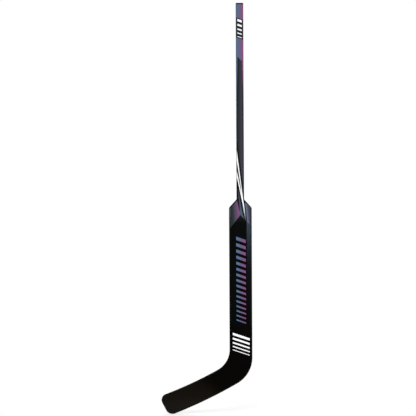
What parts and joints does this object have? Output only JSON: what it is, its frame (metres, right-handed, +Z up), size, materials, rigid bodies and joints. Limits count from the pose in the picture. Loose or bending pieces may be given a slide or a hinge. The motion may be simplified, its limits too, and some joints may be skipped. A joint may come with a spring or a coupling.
{
  "type": "hockey goalie stick",
  "caption": "Ice hockey goalie's stick: a hollow rounded shaft with a butt cap, splayed shoulders, a wide flat paddle and an angled, bowed blade, built as bonded skins, rails and foam.",
  "frame": {"origin": "on the shaft's axis at the neck, where the shaft meets the paddle's sloping shoulders and the goalie's hand closes", "axes": "+Z up the shaft to the butt cap; the flat faces look along Y, with the front face towards -Y; the blade runs down towards -X and its toe bows towards +Y"},
  "size_m": [0.3567, 0.0361, 1.61],
  "materials": {
    "cap_rubber": "matte",
    "shaft_composite": "satin clear coat over a colour-faded film and dark weave",
    "skin_composite": "satin black clear coat over a dark weave",
    "rail_composite": "satin black",
    "web_composite": "bare weave",
    "core_foam": "rigid foam",
    "joint_wood": "planed"
  },
  "bodies": {
    "root": {"butt_cap": "cap_rubber", "shaft_tube": "shaft_composite", "neck_tenon": "joint_wood", "heel_tongue": "joint_wood", "paddle_front_skin": "skin_composite", "paddle_back_skin": "skin_composite", "paddle_left_rail": "rail_composite", "paddle_right_rail": "rail_composite", "paddle_left_stringer": "web_composite", "paddle_right_stringer": "web_composite", "paddle_left_core": "core_foam", "paddle_right_core": "core_foam", "paddle_centre_core": "core_foam", "heel_block": "core_foam", "blade_front_skin": "skin_composite", "blade_back_skin": "skin_composite", "blade_top_rail": "rail_composite", "blade_sole_rail": "rail_composite", "blade_toe_cap": "rail_composite", "blade_rib": "web_composite", "blade_upper_core": "core_foam", "blade_lower_core": "core_foam"}
  },
  "joints": []
}
